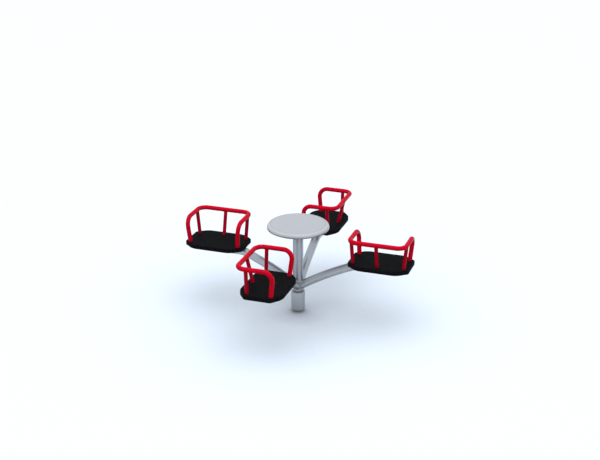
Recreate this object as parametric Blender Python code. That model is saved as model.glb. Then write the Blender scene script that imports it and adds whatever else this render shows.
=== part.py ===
"""Playground roundabout with four tube-framed seats round a fixed centre table.

Metres, +Z up. The origin is the centre of the ground post's flat foot. The
seats stand on +X, +Y, -X and -Y and are numbered 1 to 4 in that order. Each
seat is drawn in its own frame: x runs outward from the centre, y runs
counter-clockwise as seen from above, and z is the height above the ground.
Everything carried by the empty named rotor turns about the upright axis.
"""
import math

import bmesh
import bpy
from mathutils import Matrix, Vector

# General sizes
SEAT_COUNT = 4
SEAT_RADIUS = 0.700
GAP = 0.0003

# Ground post and the fixed spindle
POST_R = 0.0415
POST_TOP = 0.044
SPINDLE_R = 0.02415

# Bearing housing and column, both part of the rotor
HOUSING_R = 0.05715
HOUSING_BORE_R = 0.0490
HOUSING_BOTTOM = 0.018
HOUSING_TOP = 0.1835
HOUSING_TOP_PLATE = 0.010
HOUSING_TOP_CHAMFER = 0.004
HOUSING_FOOT_CHAMFER = 0.007
THROAT_R = 0.030
COLUMN_R = 0.0425
COLUMN_BORE_R = 0.0385
COLUMN_TOP = 0.728

# Bearings: thickness and height of the lower face
BEARING_H = 0.022
LOWER_BEARING_Z = 0.062
UPPER_BEARING_Z = HOUSING_TOP - HOUSING_TOP_PLATE - GAP - BEARING_H
TOP_BEARING_Z = 0.690
TOP_BEARING_H = 0.020

# Centre table
TABLE_R = 0.253
TABLE_TOP = 0.7766
TABLE_THICKNESS = 0.0352
TABLE_ROUND_W = 0.027
TABLE_ROUND_H = 0.030
TABLE_UNDER_ROUND = 0.004
TABLE_GROOVE_R = 0.2245
TABLE_GROOVE_HALF = 0.0012
TABLE_GROOVE_DEPTH = 0.0050
TABLE_FLANGE_R = 0.070
TABLE_FLANGE_H = 0.008

# Arms: one long gentle bend, then a short one to level under the seat
ARM_R = 0.0345
ARM_END_X = 0.760
ARM_START_ANGLE = 32.8
ARM_MID_ANGLE = 22.6
ARM_LONG_BEND = 0.469
ARM_SHORT_RADIUS = 0.150

# Seat board, eight-sided in plan with rounded corners, and the plate let into it
BOARD_TOP = 0.5434
BOARD_THICKNESS = 0.036
BOARD_HALF_X = 0.2500
BOARD_HALF_Y = 0.1740
BOARD_FLAT_X = 0.165
BOARD_FLAT_Y = 0.105
BOARD_SIDE_ROUND = 0.120
BOARD_END_ROUND = 0.020
BOARD_BEVEL = 0.005
PLATE_THICKNESS = 0.005
PLATE_INSET = 0.028

# Tube frame round the seat: a rail and three thinner stays
FOOT_RUN_ON = 0.040
RAIL_R = 0.0185
RAIL_FOOT = (0.2094, 0.0990, BOARD_TOP)
RAIL_SHOULDER = (0.2260, 0.1235, 0.7464)
RAIL_CORNER = (0.2264, -0.1740, 0.7460)
RAIL_SHOULDER_BEND = 0.0700
RAIL_CORNER_BEND = 0.0680
STAY_R = 0.0150
STAY_SIDE_FOOT = (0.2083, -0.0947, BOARD_TOP)
STAY_SIDE_TOP = (0.2263, -0.0942, 0.7462)
STAY_BACK_FOOT = (0.0, -0.1264, BOARD_TOP)
STAY_BACK_TOP = (0.0, -0.1740, 0.7460)


def clear_scene():
    """Remove every object that a new file starts with."""
    for item in list(bpy.data.objects):
        bpy.data.objects.remove(item, do_unlink=True)


def make_material(name, colour, roughness, metallic):
    """One Principled material with a plain colour."""
    material = bpy.data.materials.new(name)
    material.use_nodes = True
    shader = material.node_tree.nodes["Principled BSDF"]
    shader.inputs["Base Color"].default_value = (*colour, 1.0)
    shader.inputs["Roughness"].default_value = roughness
    shader.inputs["Metallic"].default_value = metallic
    material.diffuse_color = (*colour, 1.0)
    return material


def finish_mesh(name, work, smooth_angle=None):
    """Store a closed bmesh with outward faces, smooth across edges below the angle."""
    bmesh.ops.recalc_face_normals(work, faces=work.faces)
    if work.calc_volume(signed=True) < 0:
        bmesh.ops.reverse_faces(work, faces=work.faces)
    mesh = bpy.data.meshes.new(name)
    work.to_mesh(mesh)
    work.free()
    if smooth_angle is not None:
        mesh.shade_smooth()
        mesh.set_sharp_from_angle(angle=math.radians(smooth_angle))
    return mesh


def place(name, mesh, material, parent=None, location=(0, 0, 0), turn=0.0):
    """Put a mesh in the scene as one named piece, turned about the upright axis."""
    item = bpy.data.objects.new(name, mesh)
    bpy.context.collection.objects.link(item)
    item.location = location
    item.rotation_euler = (0.0, 0.0, turn)
    item.parent = parent
    if material is not None and not mesh.materials:
        mesh.materials.append(material)
    return item


def turned_mesh(name, profile, segments, ring=False):
    """Spin a profile of (radius, height) points about the upright axis.

    A plain solid gets a flat disc at each end of its profile. A ring has a
    closed profile that stays clear of the axis.
    """
    work = bmesh.new()
    points = [work.verts.new((radius, 0.0, height)) for radius, height in profile]
    edges = [work.edges.new(pair) for pair in zip(points, points[1:])]
    if ring:
        edges.append(work.edges.new((points[-1], points[0])))
    bmesh.ops.spin(work, geom=points + edges, cent=(0, 0, 0), axis=(0, 0, 1),
                   angle=2.0 * math.pi, steps=segments, use_merge=True)
    bmesh.ops.remove_doubles(work, verts=work.verts, dist=1e-6)
    if not ring:
        bmesh.ops.holes_fill(work, edges=work.edges)
    return finish_mesh(name, work, smooth_angle=30.0)


def rounded_path(points, bends, steps):
    """Straight runs joined by arcs of the given radii at the inner points."""
    path = [Vector(points[0])]
    for i in range(1, len(points) - 1):
        here = Vector(points[i])
        back = (Vector(points[i - 1]) - here).normalized()
        ahead = (Vector(points[i + 1]) - here).normalized()
        half = back.angle(ahead) / 2.0
        reach = bends[i - 1] / math.tan(half)
        centre = here + (back + ahead).normalized() * (bends[i - 1] / math.sin(half))
        start = here + back * reach - centre
        axis = start.cross(here + ahead * reach - centre).normalized()
        sweep = math.pi - 2.0 * half
        for s in range(steps + 1):
            turn = Matrix.Rotation(sweep * s / steps, 3, axis)
            path.append(centre + turn @ start)
    path.append(Vector(points[-1]))
    return path


def tube_mesh(name, path, radius, sides):
    """Round bar along a path: a bevelled curve with filled ends, taken as a mesh."""
    curve = bpy.data.curves.new(name, "CURVE")
    curve.dimensions = "3D"
    curve.bevel_depth = radius
    curve.bevel_resolution = sides // 2 - 2
    curve.use_fill_caps = True
    spline = curve.splines.new("POLY")
    spline.points.add(len(path) - 1)
    for knot, point in zip(spline.points, path):
        knot.co = (*point, 1.0)
    guide = bpy.data.objects.new(name, curve)
    work = bmesh.new()
    work.from_mesh(guide.to_mesh())
    guide.to_mesh_clear()
    bpy.data.objects.remove(guide)
    bmesh.ops.remove_doubles(work, verts=work.verts, dist=1e-6)
    return finish_mesh(name, work, smooth_angle=40.0)


def inset_outline(outline, distance):
    """Move a plan outline inward by a constant distance along every side."""
    moved = []
    for i, here in enumerate(outline):
        back = (outline[i - 1] - here).normalized()
        ahead = (outline[(i + 1) % len(outline)] - here).normalized()
        half = back.angle(ahead) / 2.0
        moved.append(here + (back + ahead).normalized() * (distance / math.sin(half)))
    return moved


def rounded_outline(corners, radii, steps):
    """Replace every corner of a plan outline by an arc of its own radius."""
    outline = []
    for i, here in enumerate(corners):
        back = (corners[i - 1] - here).normalized()
        ahead = (corners[(i + 1) % len(corners)] - here).normalized()
        half = back.angle(ahead) / 2.0
        centre = here + (back + ahead).normalized() * (radii[i] / math.sin(half))
        start = here + back * (radii[i] / math.tan(half)) - centre
        for s in range(steps + 1):
            turn = Matrix.Rotation((math.pi - 2.0 * half) * s / steps, 2)
            outline.append(centre + turn @ start)
    return outline


def board_outline(inset):
    """Plan of the board, a rectangle with four sloped corners, moved inward if asked."""
    ends = (BOARD_HALF_X, BOARD_FLAT_Y, BOARD_END_ROUND)
    sides = (BOARD_FLAT_X, BOARD_HALF_Y, BOARD_SIDE_ROUND)
    corners = []
    radii = []
    for x_side, y_side in ((1, 1), (-1, 1), (-1, -1), (1, -1)):
        pair = (ends, sides) if x_side == y_side else (sides, ends)
        for x, y, radius in pair:
            corners.append(Vector((x_side * x, y_side * y)))
            radii.append(max(radius - inset, BOARD_BEVEL))
    return rounded_outline(inset_outline(corners, inset), radii, 3)


def slab_mesh(name, outline, low, high, bevel=0.0):
    """Extrude a plan outline from one height to another and bevel both rims."""
    work = bmesh.new()
    base = work.faces.new([work.verts.new((x, y, low)) for x, y in outline])
    grown = bmesh.ops.extrude_face_region(work, geom=[base], use_keep_orig=True)
    raised = [item for item in grown["geom"] if isinstance(item, bmesh.types.BMVert)]
    bmesh.ops.translate(work, verts=raised, vec=(0, 0, high - low))
    if bevel:
        rims = [edge for edge in work.edges
                if edge.verts[0].co.z == edge.verts[1].co.z]
        bmesh.ops.bevel(work, geom=rims, offset=bevel, segments=1, affect="EDGES")
    return finish_mesh(name, work)


def cut(item, cutter):
    """Take the cutter's shape off a piece with an exact Boolean."""
    modifier = item.modifiers.new("cope", "BOOLEAN")
    modifier.operation = "DIFFERENCE"
    modifier.solver = "EXACT"
    modifier.object = cutter


def hide_cutter(cutter):
    """Keep a cutting shape out of the part itself."""
    cutter.hide_render = True
    cutter.display_type = "WIRE"


def bend(path, angle, turn, length, steps):
    """Carry a path on in the X-Z plane through an arc, from one slope to another."""
    x, _, z = path[-1]
    for k in range(steps):
        slope = math.radians(angle + turn * (k + 0.5) / steps)
        x += length / steps * math.cos(slope)
        z += length / steps * math.sin(slope)
        path.append(Vector((x, 0.0, z)))


def arm_path():
    """Centre line of an arm in the plane of its seat, from the column outward."""
    level = BOARD_TOP - BOARD_THICKNESS - GAP - ARM_R
    start_x = COLUMN_R - 0.0065
    path = [Vector((start_x, 0.0, 0.0))]
    bend(path, ARM_START_ANGLE, ARM_MID_ANGLE - ARM_START_ANGLE, ARM_LONG_BEND, 8)
    bend(path, ARM_MID_ANGLE, -ARM_MID_ANGLE, ARM_SHORT_RADIUS * math.radians(ARM_MID_ANGLE), 5)
    rise = level - path[-1].z
    path = [point + Vector((0.0, 0.0, rise)) for point in path]
    root = start_x - 0.004
    path.insert(0, path[0] - Vector((root, 0.0, root * math.tan(math.radians(ARM_START_ANGLE)))))
    path.append(Vector((ARM_END_X, 0.0, level)))
    return path


def arm_root_cutter(name):
    """Shape that copes an arm round the column and mitres it to its neighbours."""
    reach = COLUMN_R + GAP
    edge = GAP * 0.75
    outline = []
    steps = 16
    for k in range(steps + 1):
        angle = math.radians(-45.0 + 90.0 * k / steps) * (1.0 - edge / reach)
        outline.append((reach * math.cos(angle), reach * math.sin(angle)))
    outline += [(0.140, 0.140 - edge), (0.140, 0.200), (-0.100, 0.200)]
    outline += [(-0.100, -0.200), (0.140, -0.200), (0.140, edge - 0.140)]
    return slab_mesh(name, outline, 0.120, 0.420)


def quarter_ellipse(side, level, width, height, steps):
    """Rounded edge of a profile, from the upright side inward to the flat."""
    points = []
    for s in range(steps + 1):
        angle = 0.5 * math.pi * s / steps
        points.append((side - width * (1.0 - math.cos(angle)), level + height * math.sin(angle)))
    return points


def build_base(steel, table_grey, bearing_steel):
    """Ground post, spindle, bearings and the centre table, which never turn."""
    post = [(POST_R, 0.0), (POST_R, POST_TOP - 0.003), (POST_R - 0.003, POST_TOP)]
    place("ground_post", turned_mesh("ground_post", post, 48), steel)

    table_under = TABLE_TOP - TABLE_THICKNESS
    flange_bottom = table_under - GAP - TABLE_FLANGE_H
    spindle = [(SPINDLE_R, POST_TOP + GAP), (SPINDLE_R, flange_bottom - GAP)]
    place("spindle", turned_mesh("spindle", spindle, 32), bearing_steel)

    flange = [(TABLE_FLANGE_R, flange_bottom), (TABLE_FLANGE_R, table_under - GAP)]
    place("table_flange", turned_mesh("table_flange", flange, 48), steel)

    table = quarter_ellipse(TABLE_R, table_under + TABLE_UNDER_ROUND,
                            TABLE_UNDER_ROUND, -TABLE_UNDER_ROUND, 3)
    table.reverse()
    table += quarter_ellipse(TABLE_R, TABLE_TOP - TABLE_ROUND_H,
                             TABLE_ROUND_W, TABLE_ROUND_H, 8)
    table += [
        (TABLE_GROOVE_R + TABLE_GROOVE_HALF, TABLE_TOP),
        (TABLE_GROOVE_R, TABLE_TOP - TABLE_GROOVE_DEPTH),
        (TABLE_GROOVE_R - TABLE_GROOVE_HALF, TABLE_TOP),
    ]
    place("table_top", turned_mesh("table_top", table, 72), table_grey)

    bearings = (
        ("lower_bearing", LOWER_BEARING_Z, BEARING_H, HOUSING_BORE_R),
        ("upper_bearing", UPPER_BEARING_Z, BEARING_H, HOUSING_BORE_R),
        ("top_bearing", TOP_BEARING_Z, TOP_BEARING_H, COLUMN_BORE_R),
    )
    for name, low, height, bore in bearings:
        inner = SPINDLE_R + GAP
        outer = bore - GAP
        ring = [(inner, low), (outer, low), (outer, low + height), (inner, low + height)]
        place(name, turned_mesh(name, ring, 48, ring=True), bearing_steel)


def build_centre_of_rotor(rotor, steel):
    """Bearing housing and column, which turn about the spindle."""
    inner_top = HOUSING_TOP - HOUSING_TOP_PLATE
    foot = HOUSING_FOOT_CHAMFER
    rim = HOUSING_TOP_CHAMFER
    housing = [
        (HOUSING_BORE_R, HOUSING_BOTTOM), (HOUSING_R - foot, HOUSING_BOTTOM),
        (HOUSING_R, HOUSING_BOTTOM + foot), (HOUSING_R, HOUSING_TOP - rim),
        (HOUSING_R - rim, HOUSING_TOP), (THROAT_R, HOUSING_TOP),
        (THROAT_R, inner_top), (HOUSING_BORE_R, inner_top),
    ]
    place("bearing_housing", turned_mesh("bearing_housing", housing, 48, ring=True), steel, rotor)

    column = [
        (COLUMN_BORE_R, HOUSING_TOP + GAP), (COLUMN_R, HOUSING_TOP + GAP),
        (COLUMN_R, COLUMN_TOP), (COLUMN_BORE_R, COLUMN_TOP),
    ]
    place("column", turned_mesh("column", column, 64, ring=True), steel, rotor)


def mirrored(point):
    """The same point on the other side of the seat."""
    return (-point[0], point[1], point[2])


def rail_path():
    """Centre line of the rail: up one side, round the back, down the other."""
    half = [RAIL_FOOT, RAIL_SHOULDER, RAIL_CORNER]
    points = half + [mirrored(point) for point in reversed(half)]
    bends = [RAIL_SHOULDER_BEND, RAIL_CORNER_BEND, RAIL_CORNER_BEND, RAIL_SHOULDER_BEND]
    return rounded_path(points, bends, 6)


def run_on(path, ends):
    """Carry a path's first end, and its last one if asked, on below the board."""
    longer = list(path)
    longer[0] = path[0] + (path[0] - path[1]).normalized() * FOOT_RUN_ON
    if ends == 2:
        longer[-1] = path[-1] + (path[-1] - path[-2]).normalized() * FOOT_RUN_ON
    return longer


def flat_foot(mesh, level):
    """Cut a tube off level with the board it stands on."""
    work = bmesh.new()
    work.from_mesh(mesh)
    parts = work.verts[:] + work.edges[:] + work.faces[:]
    sliced = bmesh.ops.bisect_plane(work, geom=parts, dist=1e-7, plane_co=(0, 0, level),
                                    plane_no=(0, 0, 1), clear_inner=True)
    rim = [item for item in sliced["geom_cut"] if isinstance(item, bmesh.types.BMEdge)]
    bmesh.ops.holes_fill(work, edges=rim)
    bmesh.ops.recalc_face_normals(work, faces=work.faces)
    work.to_mesh(mesh)
    work.free()
    mesh.set_sharp_from_angle(angle=math.radians(40.0))


def seat_meshes(red, rubber, steel):
    """Meshes for one seat in the seat's own frame, shared by all four seats."""
    under = BOARD_TOP - BOARD_THICKNESS
    board = slab_mesh("seat_board", board_outline(0.0), under, BOARD_TOP, BOARD_BEVEL)
    board.materials.append(rubber)

    plate_top = under + PLATE_THICKNESS
    pocket = slab_mesh("pocket_cutter", board_outline(PLATE_INSET), under - 0.010, plate_top + GAP)
    plate = slab_mesh("seat_plate", board_outline(PLATE_INSET + GAP), under, plate_top)
    plate.materials.append(steel)

    path = rail_path()
    rail = tube_mesh("seat_rail", run_on(path, 2), RAIL_R, 20)
    flat_foot(rail, BOARD_TOP + GAP)
    rail.materials.append(red)

    stays = {}
    sides = {
        "outer": (STAY_SIDE_FOOT, STAY_SIDE_TOP),
        "inner": (mirrored(STAY_SIDE_FOOT), mirrored(STAY_SIDE_TOP)),
        "back": (STAY_BACK_FOOT, STAY_BACK_TOP),
    }
    for side, (foot, top) in sides.items():
        stay = tube_mesh("seat_stay_" + side, run_on([Vector(foot), Vector(top)], 1), STAY_R, 20)
        flat_foot(stay, BOARD_TOP + GAP)
        stay.materials.append(red)
        stays[side] = stay

    cope = tube_mesh("rail_cutter", path, RAIL_R + GAP, 20)
    return {"board": board, "pocket": pocket, "plate": plate, "rail": rail,
            "stays": stays, "cope": cope}


def build_seats(rotor, steel, red, rubber):
    """Four arms, each with a plate, a board and a tube frame on its end."""
    arm = tube_mesh("arm", arm_path(), ARM_R, 28)
    arm.materials.append(steel)
    root = arm_root_cutter("arm_root_cutter")
    parts = seat_meshes(red, rubber, steel)
    for number in range(1, SEAT_COUNT + 1):
        turn = 2.0 * math.pi * (number - 1) / SEAT_COUNT
        centre = (SEAT_RADIUS * math.cos(turn), SEAT_RADIUS * math.sin(turn), 0.0)
        prefix = "seat_%d_" % number

        beam = place("arm_%d" % number, arm, steel, rotor, turn=turn)
        cope = place("arm_%d_cutter" % number, root, None, rotor, turn=turn)
        hide_cutter(cope)
        cut(beam, cope)

        place(prefix + "plate", parts["plate"], steel, rotor, centre, turn)
        board = place(prefix + "board", parts["board"], rubber, rotor, centre, turn)
        pocket = place(prefix + "pocket_cutter", parts["pocket"], None, rotor, centre, turn)
        hide_cutter(pocket)
        cut(board, pocket)
        place(prefix + "rail", parts["rail"], red, rotor, centre, turn)
        rail_cutter = place(prefix + "rail_cutter", parts["cope"], None, rotor, centre, turn)
        hide_cutter(rail_cutter)
        for side, mesh in parts["stays"].items():
            stay = place(prefix + "stay_" + side, mesh, red, rotor, centre, turn)
            cut(stay, rail_cutter)


def build():
    """Make the whole roundabout."""
    clear_scene()
    steel = make_material("galvanised_steel", (0.42, 0.44, 0.46), 0.38, 0.9)
    bearing_steel = make_material("bearing_steel", (0.30, 0.30, 0.31), 0.30, 1.0)
    table_grey = make_material("table_grey", (0.55, 0.57, 0.59), 0.35, 0.0)
    red = make_material("red_gloss_paint", (0.62, 0.006, 0.018), 0.16, 0.0)
    rubber = make_material("black_rubber", (0.011, 0.011, 0.012), 0.62, 0.0)

    rotor = bpy.data.objects.new("rotor", None)
    bpy.context.collection.objects.link(rotor)
    build_base(steel, table_grey, bearing_steel)
    build_centre_of_rotor(rotor, steel)
    build_seats(rotor, steel, red, rubber)


build()
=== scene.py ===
"""Looks of a playground roundabout: four tube-framed seats turning round a fixed table.

Metres, +Z up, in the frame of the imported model. Seats 1 to 4 stand on +X, +Y, -X
and -Y. Sizes repeat those of the solids, so every piece lies where its solid is.
"""

import math

import bmesh
import bpy
import numpy as np
from mathutils import Matrix, Vector


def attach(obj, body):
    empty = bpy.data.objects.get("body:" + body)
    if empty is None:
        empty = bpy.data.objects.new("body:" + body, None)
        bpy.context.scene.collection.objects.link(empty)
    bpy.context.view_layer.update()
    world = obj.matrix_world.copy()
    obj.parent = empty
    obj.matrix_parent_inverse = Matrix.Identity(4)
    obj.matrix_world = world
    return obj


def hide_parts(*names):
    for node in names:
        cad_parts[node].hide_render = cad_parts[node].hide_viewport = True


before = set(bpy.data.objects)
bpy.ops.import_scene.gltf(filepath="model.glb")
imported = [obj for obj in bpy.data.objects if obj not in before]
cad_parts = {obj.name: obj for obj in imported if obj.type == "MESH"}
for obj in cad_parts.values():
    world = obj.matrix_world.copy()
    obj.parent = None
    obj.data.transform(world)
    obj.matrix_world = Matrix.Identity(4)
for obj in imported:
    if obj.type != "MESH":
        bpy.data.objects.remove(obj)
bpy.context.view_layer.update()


# Ground post
# The stub of round steel tube that comes up from the foundation. Its zinc is dull
# and its dark grey is painted shade for the gap under the housing; pale dust clings
# to its lowest centimetre.

POST_RADIUS = 0.0415
POST_TOP = 0.044
POST_ROUND = 0.003
SPLASH_TOP = 0.012
SPLASH_COLOUR = (0.46, 0.45, 0.45, 1.0)
POST_RELIEF = 0.0006


def new_group(name, inputs, outputs):
    """An empty shader group with named float or colour sockets, and its two end nodes."""
    tree = bpy.data.node_groups.new(name, "ShaderNodeTree")
    for label, start in inputs.items():
        kind = "NodeSocketColor" if isinstance(start, tuple) else "NodeSocketFloat"
        socket = tree.interface.new_socket(name=label, in_out="INPUT", socket_type=kind)
        socket.default_value = start
    for label, kind in outputs.items():
        tree.interface.new_socket(name=label, in_out="OUTPUT", socket_type="NodeSocket" + kind)
    return tree, tree.nodes.new("NodeGroupInput"), tree.nodes.new("NodeGroupOutput")


def math_node(tree, operation, first, second=None, third=None):
    """One Math node whose inputs are sockets or numbers; returns its output."""
    node = tree.nodes.new("ShaderNodeMath")
    node.operation = operation
    for socket, value in zip(node.inputs, (first, second, third)):
        if isinstance(value, bpy.types.NodeSocket):
            tree.links.new(value, socket)
        elif value is not None:
            socket.default_value = value
    return node.outputs[0]


def blend_node(tree, share, first, second):
    """Mixes two colours by a share from 0 to 1; returns the mixed colour."""
    node = tree.nodes.new("ShaderNodeMix")
    node.data_type = "RGBA"
    for socket, value in ((node.inputs[0], share), (node.inputs[6], first), (node.inputs[7], second)):
        if isinstance(value, bpy.types.NodeSocket):
            tree.links.new(value, socket)
        else:
            socket.default_value = value
    return node.outputs[2]


def noise_node(tree, where, scale, detail=3.0, stretch=None):
    """Soft noise on the given coordinates, stretched along the axes if asked."""
    node = tree.nodes.new("ShaderNodeTexNoise")
    node.inputs["Detail"].default_value = detail
    if isinstance(scale, bpy.types.NodeSocket):
        tree.links.new(scale, node.inputs["Scale"])
    else:
        node.inputs["Scale"].default_value = scale
    if stretch:
        mapping = tree.nodes.new("ShaderNodeMapping")
        mapping.inputs["Scale"].default_value = stretch
        tree.links.new(where, mapping.inputs["Vector"])
        where = mapping.outputs["Vector"]
    tree.links.new(where, node.inputs["Vector"])
    return node.outputs["Fac"]


def axes_of(tree, vector):
    """The X, Y and Z of a vector."""
    split = tree.nodes.new("ShaderNodeSeparateXYZ")
    tree.links.new(vector, split.inputs[0])
    return split.outputs["X"], split.outputs["Y"], split.outputs["Z"]


def spread_node(tree, noise, contrast, middle):
    """Noise, which lies round 0.5, moved to lie round another middle with another contrast."""
    return math_node(tree, "MULTIPLY_ADD", noise, contrast, middle - 0.5 * contrast)


def build_tone_group():
    """Two close tones of one colour, drifting into each other in soft clouds."""
    tree, given, result = new_group(
        "tone_clouds",
        {"First": (0.5, 0.5, 0.5, 1.0), "Second": (0.6, 0.6, 0.6, 1.0), "Scale": 6.0,
         "Smooth": 0.3, "Rough": 0.4},
        {"Color": "Color", "Roughness": "Float"},
    )
    where = tree.nodes.new("ShaderNodeTexCoord").outputs["Object"]
    cloud = noise_node(tree, where, given.outputs["Scale"], 4.0)
    share = spread_node(tree, cloud, 2.2, 0.5)
    share = math_node(tree, "MINIMUM", math_node(tree, "MAXIMUM", share, 0.0), 1.0)
    tree.links.new(blend_node(tree, share, given.outputs["First"], given.outputs["Second"]),
                   result.inputs["Color"])
    span = math_node(tree, "SUBTRACT", given.outputs["Rough"], given.outputs["Smooth"])
    tree.links.new(math_node(tree, "MULTIPLY_ADD", share, span, given.outputs["Smooth"]),
                   result.inputs["Roughness"])
    return tree


def build_dust_group():
    """Fine dust that lies on faces that look up, thicker in some places than in others."""
    tree, given, result = new_group(
        "settled_dust",
        {"Color": (0.5, 0.5, 0.5, 1.0), "Roughness": 0.4, "Dust Color": (0.45, 0.43, 0.40, 1.0),
         "Amount": 0.1},
        {"Color": "Color", "Roughness": "Float"},
    )
    where = tree.nodes.new("ShaderNodeTexCoord").outputs["Object"]
    _, _, up = axes_of(tree, tree.nodes.new("ShaderNodeNewGeometry").outputs["Normal"])
    up = math_node(tree, "MAXIMUM", math_node(tree, "MULTIPLY_ADD", up, 1.4, -0.4), 0.0)
    patch = spread_node(tree, noise_node(tree, where, 9.0, 6.0), 1.6, 0.5)
    patch = math_node(tree, "MAXIMUM", patch, 0.0)
    share = math_node(tree, "MULTIPLY", math_node(tree, "MULTIPLY", up, patch), given.outputs["Amount"])
    tree.links.new(blend_node(tree, share, given.outputs["Color"], given.outputs["Dust Color"]),
                   result.inputs["Color"])
    rougher = math_node(tree, "SUBTRACT", 0.9, given.outputs["Roughness"])
    tree.links.new(math_node(tree, "MULTIPLY_ADD", share, rougher, given.outputs["Roughness"]),
                   result.inputs["Roughness"])
    return tree


tone_clouds = build_tone_group()
settled_dust = build_dust_group()


def start_finish(name, first, second, scale, smooth, rough, metallic=0.0, dust=0.0):
    """A Principled material whose colour and roughness come from tone clouds under dust.

    Its colour drifts from first to second and its roughness from smooth to rough,
    in clouds of the given scale. Dust is how thickly fine dust lies on it.
    """
    finish = bpy.data.materials.new(name)
    finish.use_nodes = True
    tree = finish.node_tree
    shader = tree.nodes["Principled BSDF"]
    shader.inputs["Metallic"].default_value = metallic
    tone = tree.nodes.new("ShaderNodeGroup")
    tone.node_tree = tone_clouds
    tone.inputs["First"].default_value = (*first, 1.0)
    tone.inputs["Second"].default_value = (*second, 1.0)
    tone.inputs["Scale"].default_value = scale
    tone.inputs["Smooth"].default_value = smooth
    tone.inputs["Rough"].default_value = rough
    layer = tree.nodes.new("ShaderNodeGroup")
    layer.node_tree = settled_dust
    layer.inputs["Amount"].default_value = dust
    tree.links.new(tone.outputs["Color"], layer.inputs["Color"])
    tree.links.new(tone.outputs["Roughness"], layer.inputs["Roughness"])
    tree.links.new(layer.outputs["Color"], shader.inputs["Base Color"])
    tree.links.new(layer.outputs["Roughness"], shader.inputs["Roughness"])
    return finish, tree, shader


def add_relief(tree, shader, height, distance):
    """Bump from a height between 0 and 1, raised by the given distance in metres."""
    bump = tree.nodes.new("ShaderNodeBump")
    bump.inputs["Distance"].default_value = distance
    bump.inputs["Strength"].default_value = 1.0
    tree.links.new(height, bump.inputs["Height"])
    tree.links.new(bump.outputs["Normal"], shader.inputs["Normal"])


def make_shaded_dull_zinc():
    """Zinc near the ground, dark grey as painted shade, dusty, with a pale splash that fades upwards.

    The splash is full at the ground and gone at SPLASH_TOP, and uneven all round.
    """
    # Its dark grey tone is painted shade for the gap under the housing.
    finish, tree, shader = start_finish(
        "shaded_dull_zinc", (0.075, 0.077, 0.080), (0.135, 0.136, 0.138),
        scale=40.0, smooth=0.55, rough=0.75, dust=0.35)
    where = tree.nodes.new("ShaderNodeTexCoord").outputs["Object"]
    _, _, height = axes_of(tree, where)
    low = math_node(tree, "MULTIPLY_ADD", height, -1.0 / SPLASH_TOP, 1.0)
    low = math_node(tree, "MAXIMUM", low, 0.0)
    patch = spread_node(tree, noise_node(tree, where, 60.0, 4.0), 1.2, 1.0)
    splash = math_node(tree, "MINIMUM", math_node(tree, "MULTIPLY", low, patch), 0.9)
    bare = shader.inputs["Base Color"].links[0].from_socket
    tree.links.new(blend_node(tree, splash, bare, SPLASH_COLOUR), shader.inputs["Base Color"])
    add_relief(tree, shader, noise_node(tree, where, 160.0, 5.0), POST_RELIEF)
    return finish


def rounded_corners(corners, steps=6):
    """Profile with rounded corners.

    Each corner is (radius, height, rounding). Where the rounding isn't zero, the
    corner becomes a circular arc that touches both of its straight sides.
    """
    points = [np.array(corners[0][:2])[None]]
    for before, here, after in zip(corners, corners[1:], corners[2:]):
        middle = np.array(here[:2])
        back = np.array(before[:2]) - middle
        ahead = np.array(after[:2]) - middle
        back /= np.linalg.norm(back)
        ahead /= np.linalg.norm(ahead)
        half = math.acos(np.clip(back @ ahead, -1.0, 1.0)) / 2.0
        if here[2] == 0.0 or half > 1.57:
            points.append(middle[None])
            continue
        bisector = (back + ahead) / np.linalg.norm(back + ahead)
        centre = middle + bisector * here[2] / math.sin(half)
        start = middle + back * here[2] / math.tan(half) - centre
        side = 1.0 if back[0] * ahead[1] - back[1] * ahead[0] < 0.0 else -1.0
        turn = side * (math.pi - 2.0 * half) * np.linspace(0.0, 1.0, steps + 1)
        points.append(centre + np.stack([start[0] * np.cos(turn) - start[1] * np.sin(turn),
                                         start[0] * np.sin(turn) + start[1] * np.cos(turn)], axis=1))
    points.append(np.array(corners[-1][:2])[None])
    return np.concatenate(points)


def grid_faces(rows, columns, closed_rows=False, closed_columns=True, first=0):
    """Four-sided faces between neighbouring rows and columns of a grid of points."""
    r = np.arange(rows if closed_rows else rows - 1)[:, None]
    c = np.arange(columns if closed_columns else columns - 1)[None, :]
    next_r = (r + 1) % rows
    next_c = (c + 1) % columns
    faces = [r * columns + c, r * columns + next_c, next_r * columns + next_c, next_r * columns + c]
    return np.stack(faces, axis=-1).reshape(-1, 4) + first


def turned(profile, segments=144, ring=False):
    """Surface of revolution about the upright axis.

    A profile point (radius, height) goes round in equal steps of angle:
    x = radius cos a, y = radius sin a, z = height. A ring has a closed profile.
    """
    angle = np.linspace(0.0, 2.0 * math.pi, segments, endpoint=False)
    points = np.empty((len(profile), segments, 3))
    points[..., 0] = profile[:, :1] * np.cos(angle)
    points[..., 1] = profile[:, :1] * np.sin(angle)
    points[..., 2] = profile[:, 1:]
    return points.reshape(-1, 3), grid_faces(len(profile), segments, closed_rows=ring)


def make_piece(name, shapes, finish, body, replaced=(), sharp=32.0):
    """One mesh object from a list of (points, faces) shapes, welded shut at seams and poles."""
    counts = np.cumsum([0] + [len(points) for points, _ in shapes])
    points = np.concatenate([shape[0] for shape in shapes])
    faces = []
    for (_, group), first in zip(shapes, counts):
        faces += (np.asarray(group) + first).tolist()
    mesh = bpy.data.meshes.new(name)
    mesh.from_pydata(points.tolist(), [], faces)
    work = bmesh.new()
    work.from_mesh(mesh)
    bmesh.ops.remove_doubles(work, verts=work.verts, dist=2e-6)
    bmesh.ops.recalc_face_normals(work, faces=work.faces)
    work.to_mesh(mesh)
    work.free()
    mesh.shade_smooth()
    mesh.set_sharp_from_angle(angle=math.radians(sharp))
    mesh.materials.append(finish)
    piece = bpy.data.objects.new(name, mesh)
    bpy.context.scene.collection.objects.link(piece)
    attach(piece, body)
    if replaced:
        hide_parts(*replaced)
    return piece


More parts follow.
